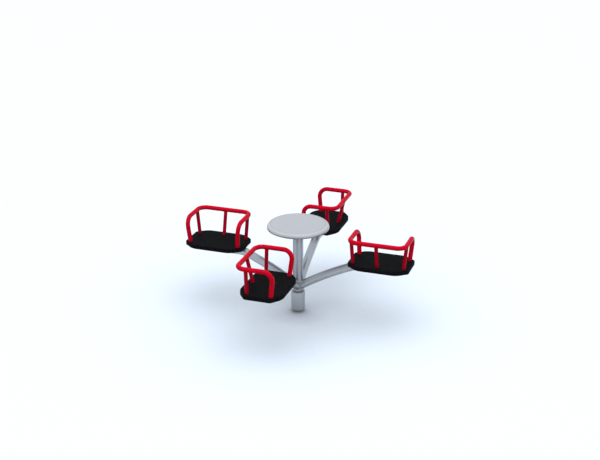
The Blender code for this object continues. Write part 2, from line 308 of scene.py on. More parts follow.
shaded_dull_zinc = make_shaded_dull_zinc()
post_profile = rounded_corners([
    (0.0, 0.0, 0.0), (POST_RADIUS, 0.0, 0.0), (POST_RADIUS, POST_TOP, POST_ROUND), (0.0, POST_TOP, 0.0)])
make_piece("ground_post_stub", [turned(post_profile)], shaded_dull_zinc, "base",
           ["ground_post"])


# Bearing housing and column
# Hot-dip galvanised steel. The housing is a thick tube with a welded lid that
# holds the bearings, and the slimmer column stands on the lid.

HOUSING_RADIUS = 0.05715
HOUSING_BORE = 0.0490
HOUSING_BOTTOM = 0.018
HOUSING_TOP = 0.1835
HOUSING_LID = 0.010
HOUSING_BEVEL_W = 0.0065
HOUSING_BEVEL_H = 0.0075
HOUSING_BORE_MIDDLE = 0.10
THROAT_RADIUS = 0.030
COLUMN_RADIUS = 0.0425
COLUMN_BORE = 0.0385
COLUMN_TOP = 0.728
COLUMN_BORE_MIDDLE = 0.40
PIECE_GAP = 0.0003
ZINC_CRYSTAL_SCALE = 95.0
ZINC_CRYSTAL_COLOUR = (0.62, 0.64, 0.66, 1.0)
ZINC_CRYSTAL_SHARE = 0.08
ZINC_CRYSTAL_GLOSS = 0.07
ZINC_RELIEF = 0.00007
# Painted shade: dark rings painted into the zinc in the creases where the column meets the lid and the arms,
# and a painted shadow under the table on the column's top.
PAINTED_SHADE_COLOUR = (0.045, 0.043, 0.040, 1.0)
FOOT_CREASE_SHADE = (0.046, 0.187, 0.014, 0.08)
ARM_ROOT_CREASE_SHADE = (0.046, 0.228, 0.020, 0.24)
UNDER_TABLE_SHADOW = (COLUMN_RADIUS, COLUMN_TOP, 0.120, 0.30)


def hypotenuse(tree, first, second):
    """The root of the sum of two squares."""
    squares = [math_node(tree, "POWER", value, 2.0) for value in (first, second)]
    return math_node(tree, "SQRT", math_node(tree, "ADD", *squares))


def build_shade_ring_group():
    """A darker ring of painted shade round the upright axis, at one radius and height.

    It is full on that circle and fades to nothing at the distance Reach from it.
    """
    tree, given, result = new_group(
        "painted_shade_ring",
        {"Color": (0.5, 0.5, 0.5, 1.0), "Radius": 0.05, "Height": 0.2, "Reach": 0.06, "Amount": 0.4},
        {"Color": "Color"},
    )
    where = tree.nodes.new("ShaderNodeTexCoord").outputs["Object"]
    x, y, z = axes_of(tree, where)
    out = math_node(tree, "SUBTRACT", hypotenuse(tree, x, y), given.outputs["Radius"])
    rise = math_node(tree, "SUBTRACT", z, given.outputs["Height"])
    gap = hypotenuse(tree, out, rise)
    near = math_node(tree, "SUBTRACT", 1.0, math_node(tree, "DIVIDE", gap, given.outputs["Reach"]))
    near = math_node(tree, "MAXIMUM", near, 0.0)
    patch = spread_node(tree, noise_node(tree, where, 45.0, 4.0), 0.9, 1.0)
    near = math_node(tree, "MULTIPLY", math_node(tree, "MULTIPLY", near, patch), 1.6)
    share = math_node(tree, "MULTIPLY", math_node(tree, "MINIMUM", near, 1.0), given.outputs["Amount"])
    tree.links.new(blend_node(tree, share, given.outputs["Color"], PAINTED_SHADE_COLOUR), result.inputs["Color"])
    return tree


painted_shade_ring = build_shade_ring_group()


def add_shade_ring(tree, colour, ring):
    """The colour with a ring of painted shade on it; the ring is (radius, height, reach, amount)."""
    shade_ring_node = tree.nodes.new("ShaderNodeGroup")
    shade_ring_node.node_tree = painted_shade_ring
    for label, value in zip(("Radius", "Height", "Reach", "Amount"), ring):
        shade_ring_node.inputs[label].default_value = value
    tree.links.new(colour, shade_ring_node.inputs["Color"])
    return shade_ring_node.outputs["Color"]


def make_galvanised(name, first, second, rings):
    """Zinc from the bath: grey crystals a little apart in tone and gloss, and soft runs.

    Each ring is a ring of painted shade round the axis, given as (radius, height, reach, amount).
    """
    finish, tree, shader = start_finish(
        name, first, second, scale=7.0, smooth=0.32, rough=0.38, metallic=1.0, dust=0.04)
    where = tree.nodes.new("ShaderNodeTexCoord").outputs["Object"]
    crystals = tree.nodes.new("ShaderNodeTexVoronoi")
    crystals.inputs["Scale"].default_value = ZINC_CRYSTAL_SCALE
    tree.links.new(where, crystals.inputs["Vector"])
    split = tree.nodes.new("ShaderNodeSeparateColor")
    tree.links.new(crystals.outputs["Color"], split.inputs[0])
    old_colour = shader.inputs["Base Color"].links[0].from_socket
    old_rough = shader.inputs["Roughness"].links[0].from_socket
    spangle = math_node(tree, "MULTIPLY", split.outputs[0], ZINC_CRYSTAL_SHARE)
    colour = blend_node(tree, spangle, old_colour, ZINC_CRYSTAL_COLOUR)
    for ring in rings:
        colour = add_shade_ring(tree, colour, ring)
    tree.links.new(colour, shader.inputs["Base Color"])
    gloss = spread_node(tree, split.outputs[1], ZINC_CRYSTAL_GLOSS, 0.0)
    tree.links.new(math_node(tree, "ADD", old_rough, gloss), shader.inputs["Roughness"])
    add_relief(tree, shader, noise_node(tree, where, 70.0, 4.0, (1.0, 1.0, 0.5)), ZINC_RELIEF)
    return finish


galvanised = make_galvanised(
    "galvanised_zinc", (0.410, 0.415, 0.425), (0.440, 0.445, 0.455), [FOOT_CREASE_SHADE])
# The column's zinc is the housing's, painted a shade darker as painted shade.
shaded_column_zinc = make_galvanised(
    "galvanised_column_shaded_zinc", (0.323, 0.326, 0.335), (0.353, 0.356, 0.365),
    [FOOT_CREASE_SHADE, ARM_ROOT_CREASE_SHADE, UNDER_TABLE_SHADOW])
lid_under = HOUSING_TOP - HOUSING_LID
housing_profile = rounded_corners([
    (HOUSING_BORE, HOUSING_BORE_MIDDLE, 0.0), (HOUSING_BORE, HOUSING_BOTTOM, 0.0012),
    (HOUSING_RADIUS - HOUSING_BEVEL_W, HOUSING_BOTTOM, 0.003),
    (HOUSING_RADIUS, HOUSING_BOTTOM + HOUSING_BEVEL_H, 0.005),
    (HOUSING_RADIUS, HOUSING_TOP, 0.004), (THROAT_RADIUS, HOUSING_TOP, 0.0008),
    (THROAT_RADIUS, lid_under, 0.0008), (HOUSING_BORE, lid_under, 0.001),
    (HOUSING_BORE, HOUSING_BORE_MIDDLE + 0.001, 0.0)])
make_piece("housing_tube", [turned(housing_profile, ring=True)], galvanised, "rotor",
           ["bearing_housing"])

column_profile = rounded_corners([
    (COLUMN_BORE, COLUMN_BORE_MIDDLE, 0.0), (COLUMN_BORE, HOUSING_TOP + PIECE_GAP, 0.0005),
    (COLUMN_RADIUS, HOUSING_TOP + PIECE_GAP, 0.0012), (COLUMN_RADIUS, COLUMN_TOP, 0.0015),
    (COLUMN_BORE, COLUMN_TOP, 0.001), (COLUMN_BORE, COLUMN_BORE_MIDDLE + 0.01, 0.0)])
make_piece("column_tube", [turned(column_profile, ring=True)], shaded_column_zinc, "rotor",
           ["column"])


# Arms
# Four 69 mm tubes, each bent once gently and once more to level under its seat.
# Their roots are coped to the column, mitred to each other and welded all round.

SEAT_COUNT = 4
ARM_RADIUS = 0.0345
ARM_LEVEL = 0.4726
ARM_END = 0.760
ARM_ROOT_X = 0.036
ARM_ROOT_SLOPE = math.radians(32.8)
ARM_MID_SLOPE = math.radians(22.6)
ARM_LONG_BEND = 0.469
ARM_SHORT_BEND = 0.150 * ARM_MID_SLOPE
ARM_WALL = 0.003
ARM_BORE_DEPTH = 0.10
ARM_TIP_ROUND = 0.003
ARM_PLUG_FLAT = 0.029
ROOT_BEAD = 0.0034
PLATE_BEAD = 0.0026
PLATE_BEAD_START = 0.515
PLATE_BEAD_END = 0.752
PLATE_BEAD_OUT = 0.0150
PLATE_BEAD_SINK = 0.0022
BEAD_RIPPLE = 0.16


def arm_line(s):
    """Centre line of an arm by its length s from the root.

    The slope falls evenly along the long bend and evenly again along the short
    one, so both are arcs of circles. Before the root and after the short bend
    the line is straight. Gives x, z and the slope there.
    """
    long_rate = (ARM_MID_SLOPE - ARM_ROOT_SLOPE) / ARM_LONG_BEND
    short_rate = -ARM_MID_SLOPE / ARM_SHORT_BEND
    before = np.minimum(s, 0.0)
    on_long = np.clip(s, 0.0, ARM_LONG_BEND)
    on_short = np.clip(s - ARM_LONG_BEND, 0.0, ARM_SHORT_BEND)
    after = np.maximum(s - ARM_LONG_BEND - ARM_SHORT_BEND, 0.0)
    mid = ARM_ROOT_SLOPE + long_rate * on_long
    slope = mid + short_rate * on_short
    x = ARM_ROOT_X + before * math.cos(ARM_ROOT_SLOPE) + after
    x = x + (np.sin(mid) - math.sin(ARM_ROOT_SLOPE)) / long_rate + (np.sin(slope) - np.sin(mid)) / short_rate
    z = before * math.sin(ARM_ROOT_SLOPE)
    z = z + (math.cos(ARM_ROOT_SLOPE) - np.cos(mid)) / long_rate + (np.cos(mid) - np.cos(slope)) / short_rate
    rise = (math.cos(ARM_ROOT_SLOPE) - math.cos(ARM_MID_SLOPE)) / long_rate
    rise += (math.cos(ARM_MID_SLOPE) - 1.0) / short_rate
    return x, z + ARM_LEVEL - rise, slope


def arm_point(s, around, radius=ARM_RADIUS):
    """Point of an arm's skin: the centre line plus a circle square to it.

    around is 0 on top of the tube and goes round towards +y.
    """
    x, z, slope = arm_line(s)
    points = np.empty(np.broadcast(s, around).shape + (3,))
    points[..., 0] = x - radius * np.cos(around) * np.sin(slope)
    points[..., 1] = radius * np.sin(around)
    points[..., 2] = z + radius * np.cos(around) * np.cos(slope)
    return points


def arm_start(around):
    """Length s at which each line of the skin leaves the column or meets the next arm.

    The line starts at x = the larger of the column's wall and the 45 degree
    mitre; a few Newton steps find s for that x.
    """
    y = ARM_RADIUS * np.sin(around)
    wall = np.maximum(np.sqrt(COLUMN_RADIUS ** 2 - y ** 2), np.abs(y))
    s = np.zeros_like(around)
    for _ in range(6):
        x, _, slope = arm_line(s)
        s = s - (x - ARM_RADIUS * np.cos(around) * np.sin(slope) - wall) / np.cos(slope)
    return s


def spun(points, number):
    """The same points turned about the upright axis to seat 1, 2, 3 or 4."""
    angle = 2.0 * math.pi * (number - 1) / SEAT_COUNT
    turn = np.array([[math.cos(angle), math.sin(angle), 0.0],
                     [-math.sin(angle), math.cos(angle), 0.0], [0.0, 0.0, 1.0]])
    return points @ turn


def arm_shape():
    """Grid of an arm's skin from its coped root to its tip, closed there by a flat plug.

    At the root it goes back inside as the tube's bore, which ends a little way up.
    """
    around = np.linspace(0.0, 2.0 * math.pi, 56, endpoint=False)
    root = arm_start(around)
    total = ARM_LONG_BEND + ARM_SHORT_BEND
    tip = total + ARM_END - arm_line(np.array(total))[0]
    share = np.linspace(0.0, 1.0, 72)[:, None]
    skin = arm_point(root + (tip - ARM_TIP_ROUND - root) * share, around)
    tilt = np.linspace(0.0, 0.5 * math.pi, 5)[1:, None]
    rim = arm_point(tip - ARM_TIP_ROUND + ARM_TIP_ROUND * np.sin(tilt), around[None, :],
                    ARM_RADIUS - ARM_TIP_ROUND * (1.0 - np.cos(tilt)))
    plug = [arm_point(np.full((1, 1), tip), around[None, :], radius) for radius in (ARM_PLUG_FLAT, 0.0)]
    inner = arm_point(root[None, :], around[None, :], ARM_RADIUS - ARM_WALL)
    hollow = arm_point(np.full((1, 1), ARM_BORE_DEPTH), around[None, :], ARM_RADIUS - ARM_WALL)
    end = arm_point(np.full((1, 1), ARM_BORE_DEPTH), around[None, :], 0.0)
    rows = np.concatenate([end, hollow, inner, skin, rim, *plug])
    return rows.reshape(-1, 3), grid_faces(len(rows), rows.shape[1])


def bead(path, width, ripple, closed=False, sides=10):
    """Weld bead along a path: a round cord whose radius swells and shrinks in ripples.

    The radius is width times (1 + ripple times |sin|) with one swell for each
    1.1 widths of length, and it tapers at open ends. The circle lies square to
    the path: its axes are the tangent's cross products with a fixed direction.
    """
    ahead = np.roll(path, -1, axis=0) - np.roll(path, 1, axis=0)
    if not closed:
        ahead[0] = path[1] - path[0]
        ahead[-1] = path[-1] - path[-2]
    ahead /= np.linalg.norm(ahead, axis=1, keepdims=True)
    fixed = np.array([0.36, 0.48, 0.80])
    across = np.cross(ahead, fixed)
    across /= np.linalg.norm(across, axis=1, keepdims=True)
    third = np.cross(ahead, across)
    length = np.concatenate([[0.0], np.cumsum(np.linalg.norm(np.diff(path, axis=0), axis=1))])
    radius = width * (1.0 + ripple * np.abs(np.sin(math.pi * length / (1.1 * width))))
    if not closed:
        edge = np.minimum(length, length[-1] - length) / (1.5 * width)
        radius = radius * np.sqrt(np.clip(edge, 0.0, 1.0))
    around = np.linspace(0.0, 2.0 * math.pi, sides, endpoint=False)[None, :, None]
    points = path[:, None] + radius[:, None, None] * (np.cos(around) * across[:, None]
                                                      + np.sin(around) * third[:, None])
    return points.reshape(-1, 3), grid_faces(len(path), sides, closed_rows=closed)


def root_bead_shapes(number):
    """Beads of one arm: over and under it against the column, and down one mitre."""
    limit = math.asin(COLUMN_RADIUS / math.sqrt(2.0) / ARM_RADIUS)
    over = np.linspace(-limit, limit, 120)
    under = np.linspace(math.pi - limit, math.pi + limit, 120)
    mitre = np.linspace(limit, math.pi - limit, 90)
    lines = [arm_point(arm_start(line), line) for line in (over, under, mitre)]
    return [(spun(points, number), faces)
            for points, faces in (bead(line, ROOT_BEAD, BEAD_RIPPLE) for line in lines)]


def plate_bead_shapes(number):
    """Two straight beads between the level end of an arm and the seat plate on it."""
    x = np.linspace(PLATE_BEAD_START, PLATE_BEAD_END, 150)
    height = np.full_like(x, ARM_LEVEL + ARM_RADIUS - PLATE_BEAD_SINK)
    lines = [np.stack([x, np.full_like(x, side * PLATE_BEAD_OUT), height], axis=1) for side in (1.0, -1.0)]
    return [(spun(points, number), faces)
            for points, faces in (bead(line, PLATE_BEAD, BEAD_RIPPLE) for line in lines)]


# The arms' zinc is the housing's, painted a little darker as painted shade.
shaded_arm_zinc = make_galvanised(
    "galvanised_arm_shaded_zinc", (0.395, 0.398, 0.405), (0.425, 0.428, 0.435), [ARM_ROOT_CREASE_SHADE])
arm_points, arm_faces = arm_shape()
for number in range(1, SEAT_COUNT + 1):
    make_piece("arm_%d_tube" % number, [(spun(arm_points, number), arm_faces)], shaded_arm_zinc, "rotor",
               ["arm_%d" % number])
for number in range(1, SEAT_COUNT + 1):
    make_piece("arm_%d_welds" % number, root_bead_shapes(number) + plate_bead_shapes(number),
               shaded_arm_zinc, "rotor")


# Seat boards
# Eight-sided boards of black moulded rubber with rounded rims and a fine grain
# against slipping. A steel plate is let into the underside of each.

SEAT_RADIUS = 0.700
BOARD_TOP = 0.5434
BOARD_THICKNESS = 0.036
BOARD_HALF_X = 0.2500
BOARD_HALF_Y = 0.1740
BOARD_FLAT_X = 0.165
BOARD_FLAT_Y = 0.105
BOARD_SIDE_ROUND = 0.120
BOARD_END_ROUND = 0.020
BOARD_RIM = 0.0065
BOARD_UNDER_ROUND = 0.004
BOARD_DISH = 0.0012
PLATE_INSET = 0.028
PLATE_THICKNESS = 0.005
RUBBER_RELIEF = 0.00045


def make_rubber():
    """Moulded rubber: near black and finely mottled, a faint satin sheen, small close pimples."""
    finish, tree, shader = start_finish(
        "moulded_rubber", (0.0026, 0.0026, 0.0027), (0.0096, 0.0096, 0.0101),
        scale=60.0, smooth=0.50, rough=0.62)
    shader.inputs["Specular IOR Level"].default_value = 0.008
    where = tree.nodes.new("ShaderNodeTexCoord").outputs["Object"]
    pimples = tree.nodes.new("ShaderNodeTexVoronoi")
    pimples.inputs["Scale"].default_value = 260.0
    pimples.inputs["Randomness"].default_value = 0.35
    tree.links.new(where, pimples.inputs["Vector"])
    domes = math_node(tree, "MULTIPLY_ADD", pimples.outputs["Distance"], -1.8, 1.0)
    domes = math_node(tree, "MAXIMUM", domes, 0.0)
    fine = math_node(tree, "MULTIPLY_ADD", noise_node(tree, where, 900.0, 2.0), 0.3, domes)
    add_relief(tree, shader, fine, RUBBER_RELIEF)
    return finish


def board_corners(inset):
    """The eight corners of the board's plan, moved inward along both of their sides."""
    outline = []
    for x_side, y_side in ((1, 1), (-1, 1), (-1, -1), (1, -1)):
        end = (x_side * BOARD_HALF_X, y_side * BOARD_FLAT_Y)
        side = (x_side * BOARD_FLAT_X, y_side * BOARD_HALF_Y)
        outline += [end, side] if x_side == y_side else [side, end]
    points = np.array(outline)
    back = np.roll(points, 1, axis=0) - points
    ahead = np.roll(points, -1, axis=0) - points
    back /= np.linalg.norm(back, axis=1, keepdims=True)
    ahead /= np.linalg.norm(ahead, axis=1, keepdims=True)
    bisector = (back + ahead) / np.linalg.norm(back + ahead, axis=1, keepdims=True)
    half = np.arccos(np.clip((back * bisector).sum(1), -1.0, 1.0))
    return points + bisector * (inset / np.sin(half))[:, None], back, ahead, bisector, half


def board_plan(inset, steps=10):
    """Outline of the board moved inward: eight straight sides joined by arcs.

    Each arc has its corner's radius less the inset, and touches both sides.
    """
    points, back, ahead, bisector, half = board_corners(inset)
    ends = np.abs(points[:, 0]) > 0.5 * (BOARD_FLAT_X + BOARD_HALF_X) - 0.5 * inset
    radius = np.maximum(np.where(ends, BOARD_END_ROUND, BOARD_SIDE_ROUND) - inset, 0.003)
    centre = points + bisector * (radius / np.sin(half))[:, None]
    start = points + back * (radius / np.tan(half))[:, None] - centre
    turn = (math.pi - 2.0 * half)[:, None] * np.linspace(0.0, 1.0, steps + 1)
    x = start[:, :1] * np.cos(turn) - start[:, 1:] * np.sin(turn)
    y = start[:, :1] * np.sin(turn) + start[:, 1:] * np.cos(turn)
    return np.stack([x, y], axis=-1).reshape(-1, 2) + np.repeat(centre, steps + 1, axis=0)


def board_row(inset, height, shrink=1.0):
    """One closed row of the board's grid, shrunk towards the middle if asked."""
    plan = board_plan(inset) * shrink
    return np.concatenate([plan, np.full((len(plan), 1), height)], axis=1)


def board_shape():
    """Board from rows of its outline: pocket, underside, rounded rim, slightly dished top."""
    low = BOARD_TOP - BOARD_THICKNESS
    pocket = low + PLATE_THICKNESS + PIECE_GAP
    rows = [board_row(PLATE_INSET, pocket, 0.0), board_row(PLATE_INSET, pocket),
            board_row(PLATE_INSET, low + 0.0004), board_row(PLATE_INSET - 0.0006, low)]
    quarter = np.linspace(0.0, 0.5 * math.pi, 7)
    rows += [board_row(BOARD_UNDER_ROUND * (1.0 - math.sin(a)),
                       low + BOARD_UNDER_ROUND * (1.0 - math.cos(a))) for a in quarter]
    rows += [board_row(BOARD_RIM * (1.0 - math.cos(a)), BOARD_TOP - BOARD_RIM * (1.0 - math.sin(a)))
             for a in quarter]
    for share in np.linspace(0.0, 1.0, 16)[1:]:
        dish = BOARD_DISH * (1.0 - math.cos(math.pi * min(share * 1.6, 1.0))) / 2.0
        rows.append(board_row(BOARD_RIM, BOARD_TOP - dish, 1.0 - share))
    grid = np.stack(rows)
    return grid.reshape(-1, 3), grid_faces(len(grid), grid.shape[1])


def seated(points, number):
    """Points of one seat's own frame, moved out to the seat's place and turned there."""
    return spun(points + np.array([SEAT_RADIUS, 0.0, 0.0]), number)


rubber = make_rubber()
board_points, board_faces = board_shape()
for number in range(1, SEAT_COUNT + 1):
    make_piece("seat_%d_rubber" % number, [(seated(board_points, number), board_faces)], rubber, "rotor",
               ["seat_%d_board" % number])


# Seat rails
# One 37 mm tube for each seat, bent up one side, round the back and down the
# other. The steel is powder-coated in glossy red after welding.

RAIL_RADIUS = 0.0185
RAIL_FOOT = (0.2094, 0.0990, BOARD_TOP)
RAIL_SHOULDER = (0.2260, 0.1235, 0.7464)
RAIL_CORNER = (0.2264, -0.1740, 0.7460)
RAIL_SHOULDER_BEND = 0.0700
RAIL_CORNER_BEND = 0.0680
FOOT_SINK = 0.0010
TUBE_GUIDE = (0.577, 0.577, 0.577)
POWDER_RELIEF = 0.00012


def make_powder_red(name, first, second):
    """Baked red powder: deep colour under a clear gloss, with a faint orange-peel skin."""
    finish, tree, shader = start_finish(name, first, second, scale=8.0, smooth=0.22, rough=0.30)
    shader.inputs["Specular IOR Level"].default_value = 0.03
    where = tree.nodes.new("ShaderNodeTexCoord").outputs["Object"]
    add_relief(tree, shader, noise_node(tree, where, 330.0, 2.0), POWDER_RELIEF)
    return finish


def rounded_line(points, bends, steps=20):
    """Straight runs joined by arcs of the given radii at the inner points.

    An arc's centre lies on the corner's bisector; its points are that centre
    plus the start arm turned in the plane of the two runs.
    """
    line = [np.array(points[0])[None]]
    for before, here, after, radius in zip(points, points[1:], points[2:], bends):
        here = np.array(here)
        back = (np.array(before) - here) / np.linalg.norm(np.array(before) - here)
        ahead = (np.array(after) - here) / np.linalg.norm(np.array(after) - here)
        half = math.acos(back @ ahead) / 2.0
        bisector = (back + ahead) / np.linalg.norm(back + ahead)
        centre = here + bisector * radius / math.sin(half)
        out = (here + back * radius / math.tan(half) - centre) / radius
        turn = (math.pi - 2.0 * half) * np.linspace(0.0, 1.0, steps + 1)[:, None]
        line.append(centre + radius * (np.cos(turn) * out - np.sin(turn) * back))
    line.append(np.array(points[-1])[None])
    return np.concatenate(line)


def tube_rows(line, radius, sides):
    """Rows of points round a line, each a circle square to the line.

    The circle's first axis is the cross product of TUBE_GUIDE, a direction that
    no tube here runs along, with the line's tangent, so the rows don't twist
    against each other.
    """
    ahead = np.gradient(line, axis=0)
    ahead[0] = line[1] - line[0]
    ahead[-1] = line[-1] - line[-2]
    ahead /= np.linalg.norm(ahead, axis=1, keepdims=True)
    first = np.cross(np.array(TUBE_GUIDE), ahead)
    first /= np.linalg.norm(first, axis=1, keepdims=True)
    second = np.cross(ahead, first)
    around = np.linspace(0.0, 2.0 * math.pi, sides, endpoint=False)[None, :, None]
    rows = line[:, None] + radius * (np.cos(around) * first[:, None] + np.sin(around) * second[:, None])
    return rows, ahead


def level_end(row, direction, height):
    """Slide each point of an end row along the tube until it lies at the given height."""
    return row + direction * ((height - row[:, 2:]) / direction[2])


def capped(rows):
    """Close both ends of a tube with a fan to the middle of its end row."""
    first = np.repeat(rows[:1].mean(axis=1, keepdims=True), rows.shape[1], axis=1)
    last = np.repeat(rows[-1:].mean(axis=1, keepdims=True), rows.shape[1], axis=1)
    rows = np.concatenate([first, rows, last])
    return rows.reshape(-1, 3), grid_faces(len(rows), rows.shape[1])


def other_side(point):
    """The same point on the other side of the seat."""
    return (-point[0], point[1], point[2])


def rail_shape():
    """The rail's tube, with both feet cut level with the board."""
    half = [RAIL_FOOT, RAIL_SHOULDER, RAIL_CORNER]
    corners = half + [other_side(point) for point in reversed(half)]
    bends = [RAIL_SHOULDER_BEND, RAIL_CORNER_BEND, RAIL_CORNER_BEND, RAIL_SHOULDER_BEND]
    rows, ahead = tube_rows(rounded_line(corners, bends), RAIL_RADIUS, 40)
    rows[0] = level_end(rows[0], ahead[0], BOARD_TOP - FOOT_SINK)
    rows[-1] = level_end(rows[-1], ahead[-1], BOARD_TOP - FOOT_SINK)
    return capped(rows)


powder_red = make_powder_red("powder_red", (0.480, 0.0006, 0.011), (0.525, 0.0010, 0.015))
rail_points, rail_faces = rail_shape()
for number in range(1, SEAT_COUNT + 1):
    make_piece("seat_%d_rail_tube" % number, [(seated(rail_points, number), rail_faces)], powder_red,
               "rotor", ["seat_%d_rail" % number])


# Seat stays
# Three 30 mm uprights for each seat, welded under the rail: one behind the
# middle of the back and one on each side. They have the rails' red coat, painted
# a shade darker on them as painted shade.

STAY_RADIUS = 0.0150
STAY_SIDE_FOOT = (0.2083, -0.0947, BOARD_TOP)
STAY_SIDE_TOP = (0.2263, -0.0942, 0.7462)
STAY_BACK_FOOT = (0.0, -0.1264, BOARD_TOP)
STAY_BACK_TOP = (0.0, -0.1740, 0.7460)
STAY_SIDES = 32
STAY_BEAD = 0.0021
STAY_BEAD_RIPPLE = 0.10
STAY_BEAD_POINTS = 160


def stay_shapes(foot, top, rail_axis):
    """A straight upright coped to the rail, and the bead of weld round its top.

    Each line of the skin runs up until it reaches the rail's cylinder, which is
    the smaller root of a square equation in the length along the line.
    """
    foot = np.array(foot)
    top = np.array(top)
    direction = (top - foot) / np.linalg.norm(top - foot)
    base, _ = tube_rows(np.stack([foot, top]), STAY_RADIUS, STAY_SIDES)
    low = level_end(base[0], direction, BOARD_TOP - FOOT_SINK)
    axis = np.array(rail_axis) / np.linalg.norm(rail_axis)
    start = low - top
    start = start - (start @ axis)[:, None] * axis
    run = direction - (direction @ axis) * axis
    a = run @ run
    b = start @ run
    c = (start * start).sum(axis=1) - RAIL_RADIUS ** 2
    reach = (-b - np.sqrt(b * b - a * c)) / a
    high = low + direction * reach[:, None]
    share = np.linspace(0.0, 1.0, 8)[:, None, None]
    upright = capped(low + (high - low) * share)
    looped = np.append(high, high[:1], axis=0)
    fine = np.linspace(0.0, STAY_SIDES, STAY_BEAD_POINTS, endpoint=False)
    ring = np.stack([np.interp(fine, np.arange(STAY_SIDES + 1), looped[:, k]) for k in range(3)], axis=1)
    return upright, bead(ring, STAY_BEAD, STAY_BEAD_RIPPLE, closed=True, sides=8)


# Painted shade: the rails' red, painted darker on the stays.
shaded_red = make_powder_red("powder_red_shaded", (0.325, 0.0008, 0.0095), (0.36, 0.0013, 0.0125))
stays = {
    "outer": stay_shapes(STAY_SIDE_FOOT, STAY_SIDE_TOP, (0.0, 1.0, 0.0)),
    "inner": stay_shapes(other_side(STAY_SIDE_FOOT), other_side(STAY_SIDE_TOP), (0.0, 1.0, 0.0)),
    "back": stay_shapes(STAY_BACK_FOOT, STAY_BACK_TOP, (1.0, 0.0, 0.0)),
}
for number in range(1, SEAT_COUNT + 1):
    for side, shapes in stays.items():
        placed = [(seated(points, number), faces) for points, faces in shapes]
        make_piece("seat_%d_stay_%s_tube" % (number, side), placed, shaded_red, "rotor",
                   ["seat_%d_stay_%s" % (number, side)])


# Seat bolts
# Five flanged hexagon bolts under each seat. They pass up through plate and
# board into threaded plugs in the feet of the rail and stays, and clamp them.

BOLT_FLANGE_RADIUS = 0.0125
BOLT_HEAD_RADIUS = 0.0092
BOLT_FLANGE_HEIGHT = 0.0022
BOLT_HEAD_HEIGHT = 0.0085
BOLT_GAP = 0.0002
BOLT_RELIEF = 0.00006
BOLT_PLACES = ((0.2094, 0.0990), (-0.2094, 0.0990), (0.2083, -0.0947), (-0.2083, -0.0947), (0.0, -0.1264))


def bolt_shape(x, y, turn):
    """A bolt head that hangs from the plate, as rows of one outline.

    The outline's radius goes from a circle to a hexagon by a share k: it is
    (1 - k) r + k r cos 30 / cos(a), where a is the angle from the nearest flat.
    Each row has its own height, radius and share.
    """
    top = BOARD_TOP - BOARD_THICKNESS - BOLT_GAP
    rows = [
        (0.0, 0.0, 0.0),
        (0.0, BOLT_FLANGE_RADIUS, 0.0),
        (0.0006, BOLT_FLANGE_RADIUS + 0.0003, 0.0),
        (0.0012, BOLT_FLANGE_RADIUS, 0.0),
        (BOLT_FLANGE_HEIGHT, BOLT_HEAD_RADIUS + 0.0012, 0.0),
        (BOLT_FLANGE_HEIGHT + 0.0006, BOLT_HEAD_RADIUS, 1.0),
        (BOLT_HEAD_HEIGHT - 0.0010, BOLT_HEAD_RADIUS, 1.0),
        (BOLT_HEAD_HEIGHT - 0.0003, BOLT_HEAD_RADIUS * 0.95, 0.5),
        (BOLT_HEAD_HEIGHT, BOLT_HEAD_RADIUS * 0.84, 0.0),
        (BOLT_HEAD_HEIGHT - 0.0004, BOLT_HEAD_RADIUS * 0.70, 0.0),
        (BOLT_HEAD_HEIGHT - 0.0004, 0.0, 0.0),
    ]
    drop, radius, share = (np.array(column)[:, None] for column in zip(*rows))
    around = np.linspace(0.0, 2.0 * math.pi, 48, endpoint=False)[None, :]
    flat = (around + math.pi / 6.0) % (math.pi / 3.0) - math.pi / 6.0
    reach = radius * ((1.0 - share) + share * math.cos(math.pi / 6.0) / np.cos(flat))
    points = np.empty(reach.shape + (3,))
    points[..., 0] = x + reach * np.cos(around + turn)
    points[..., 1] = y + reach * np.sin(around + turn)
    points[..., 2] = top - drop
    return points.reshape(-1, 3), grid_faces(len(rows), 48)


def make_bolt_zinc():
    """Electroplated zinc: brighter and smoother than the dipped steel, a little yellowed."""
    finish, tree, shader = start_finish(
        "plated_zinc", (0.50, 0.50, 0.48), (0.58, 0.58, 0.57),
        scale=90.0, smooth=0.25, rough=0.38, metallic=0.8)
    where = tree.nodes.new("ShaderNodeTexCoord").outputs["Object"]
    add_relief(tree, shader, noise_node(tree, where, 500.0, 2.0), BOLT_RELIEF)
    return finish


plated_zinc = make_bolt_zinc()
for number in range(1, SEAT_COUNT + 1):
    bolts = [bolt_shape(x, y, 0.7 * place + number) for place, (x, y) in enumerate(BOLT_PLACES)]
    make_piece("seat_%d_bolts" % number, [(seated(points, number), faces) for points, faces in bolts],
               plated_zinc, "rotor")


# Table
# A thick round top with a softly rounded rim, in a pale grey satin coat. It is
# fixed on the spindle by a steel flange, so it stands still while the seats turn.

TABLE_RADIUS = 0.253
TABLE_TOP = 0.7766
TABLE_THICKNESS = 0.0352
TABLE_ROUND_W = 0.0270
TABLE_ROUND_H = 0.0300
TABLE_UNDER_ROUND = 0.004
TABLE_GROOVE = 0.2245
TABLE_GROOVE_HALF = 0.0012
TABLE_GROOVE_DEPTH = 0.0050
TABLE_RIM_HIGHLIGHT_COLOUR = (0.78, 0.78, 0.79, 1.0)
TABLE_RIM_HIGHLIGHT_SHARE = 0.13
TABLE_RELIEF = 0.00010
# Painted shade: the rim is darkened low down, round its underside edge.
RIM_UNDER_SHADE = (TABLE_RADIUS, TABLE_TOP - TABLE_THICKNESS, 0.019, 0.62)
FLANGE_RADIUS = 0.070
FLANGE_THICKNESS = 0.008
FLANGE_ROUND = 0.001


